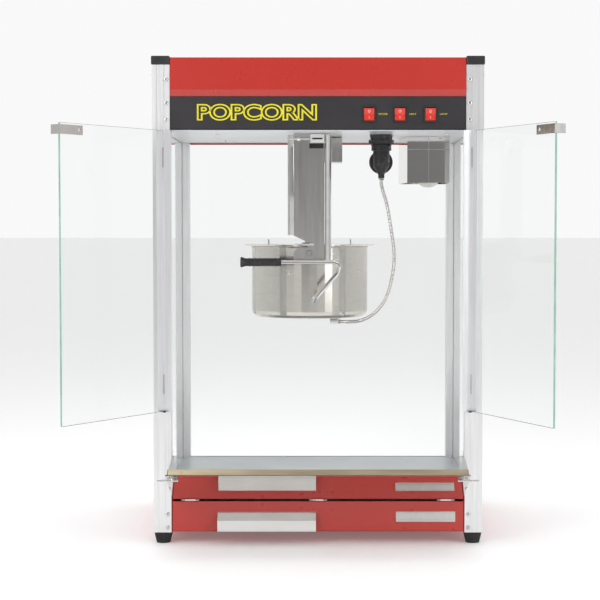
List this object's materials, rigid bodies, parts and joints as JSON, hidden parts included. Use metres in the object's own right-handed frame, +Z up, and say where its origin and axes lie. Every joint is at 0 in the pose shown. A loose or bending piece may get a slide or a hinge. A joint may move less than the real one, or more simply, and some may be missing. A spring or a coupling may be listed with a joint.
{
  "type": "popcorn maker",
  "caption": "Glazed countertop popcorn machine with hinged glass doors, tilting stirred kettle, front flap and crumb drawer.",
  "frame": {"origin": "bottom centre of the whole machine's box with its doors and flap standing open", "axes": "+Z up, +X to the viewer's right, front with doors towards -Y"},
  "size_m": [0.9044, 0.7562, 0.94],
  "materials": {
    "aluminium": "anodised, satin",
    "black_plastic": "fine satin black",
    "rubber_black": "matte",
    "red_paint": "smooth powder coat",
    "mirror_stainless": "mirror polished stainless sheet",
    "rocker_red": "gloss, translucent red",
    "clear_glass": "clear, green at the edges",
    "pale_metal": "pale grey, satin",
    "ceramic": "matte ceramic or mica",
    "brass": "satin",
    "stainless": "polished to brushed"
  },
  "bodies": {
    "cabinet": {"base_shell": "red_paint", "canopy": "red_paint", "cap_front_left": "black_plastic", "cap_front_right": "black_plastic", "cap_rear_left": "black_plastic", "cap_rear_right": "black_plastic", "ceiling_plate": "pale_metal", "control_panel": "black_plastic", "foot_front_left": "rubber_black", "foot_front_right": "rubber_black", "foot_rear_left": "rubber_black", "foot_rear_right": "rubber_black", "gear_motor": "stainless", "hanger_bracket": "stainless", "hanger_rod": "stainless", "kettle_conduit": "aluminium", "kettle_plug": "black_plastic", "kettle_socket": "black_plastic", "lamp_bulb": "clear_glass", "lamp_holder": "ceramic", "lamp_shield": "mirror_stainless", "post_front_left": "aluminium", "post_front_right": "aluminium", "post_rear_left": "aluminium", "post_rear_right": "aluminium", "power_inlet": "black_plastic", "rear_glass": "clear_glass", "shaft_housing": "stainless", "side_glass_left": "clear_glass", "side_glass_right": "clear_glass", "switch_housing_heat": "black_plastic", "switch_housing_light": "black_plastic", "switch_housing_motor": "black_plastic", "warming_deck": "pale_metal", "warming_element": "ceramic"},
    "left_door": {"door_glass_left": "clear_glass", "door_stile_left": "aluminium", "door_pull_left": "stainless"},
    "right_door": {"door_glass_right": "clear_glass", "door_stile_right": "aluminium", "door_pull_right": "stainless"},
    "flap": {"front_flap": "mirror_stainless"},
    "drawer": {"drawer_front": "red_paint", "drawer_tray": "stainless", "drawer_handle": "stainless"},
    "kettle": {"kettle_jacket": "stainless", "kettle_bowl": "stainless", "kettle_element": "brass", "kettle_lid_bar": "stainless", "kettle_pin_front": "stainless", "kettle_pin_rear": "stainless", "tilt_handle": "stainless", "tilt_grip": "black_plastic"},
    "lid_left": {"kettle_lid_left": "stainless"},
    "lid_right": {"kettle_lid_right": "stainless"},
    "stirrer": {"agitator": "stainless"},
    "drive": {"drive_shaft": "stainless"},
    "motor_rocker": {"rocker_motor": "rocker_red"},
    "heat_rocker": {"rocker_heat": "rocker_red"},
    "light_rocker": {"rocker_light": "rocker_red"}
  },
  "joints": [
    {"name": "left_door_hinge", "type": "hinge", "parent": "cabinet", "child": "left_door", "pos_m": [-0.27331, -0.11218, 0.5285], "axis": [0, 0, 1], "range_deg": [0, 124]},
    {"name": "right_door_hinge", "type": "hinge", "parent": "cabinet", "child": "right_door", "pos_m": [0.31169, -0.11218, 0.5285], "axis": [0, 0, -1], "range_deg": [0, 115]},
    {"name": "flap_hinge", "type": "hinge", "parent": "cabinet", "child": "flap", "pos_m": [0.01919, -0.10268, 0.0845], "axis": [-1, 0, 0], "range_deg": [0, 65]},
    {"name": "drawer_slide", "type": "slide", "parent": "cabinet", "child": "drawer", "axis": [0, -1, 0], "range_m": [0, 0.22]},
    {"name": "kettle_tilt", "type": "hinge", "parent": "cabinet", "child": "kettle", "pos_m": [0.00189, 0.13382, 0.561], "axis": [0, -1, 0], "range_deg": [0, 95], "deforming": ["kettle_conduit"]},
    {"name": "left_lid_hinge", "type": "hinge", "parent": "kettle", "child": "lid_left", "pos_m": [-0.01131, 0.13382, 0.5774], "axis": [0, 1, 0], "range_deg": [0, 85]},
    {"name": "right_lid_hinge", "type": "hinge", "parent": "kettle", "child": "lid_right", "pos_m": [0.01509, 0.13382, 0.5774], "axis": [0, -1, 0], "range_deg": [0, 85]},
    {"name": "drive_spin", "type": "hinge", "parent": "cabinet", "child": "drive", "pos_m": [0.00189, 0.13382, 0.7], "axis": [0, 0, 1], "continuous": true},
    {"name": "stirrer_spin", "type": "hinge", "parent": "kettle", "child": "stirrer", "pos_m": [0.00189, 0.13382, 0.5], "axis": [0, 0, 1], "continuous": true},
    {"name": "motor_rocker_pivot", "type": "hinge", "parent": "cabinet", "child": "motor_rocker", "pos_m": [0.11719, -0.10268, 0.829], "axis": [-1, 0, 0], "range_deg": [0, 16]},
    {"name": "heat_rocker_pivot", "type": "hinge", "parent": "cabinet", "child": "heat_rocker", "pos_m": [0.17619, -0.10268, 0.829], "axis": [-1, 0, 0], "range_deg": [0, 16]},
    {"name": "light_rocker_pivot", "type": "hinge", "parent": "cabinet", "child": "light_rocker", "pos_m": [0.23469, -0.10268, 0.829], "axis": [-1, 0, 0], "range_deg": [0, 16]}
  ],
  "couplings": [
    {"joint": "stirrer_spin", "follows": "drive_spin", "ratio": 1}
  ]
}
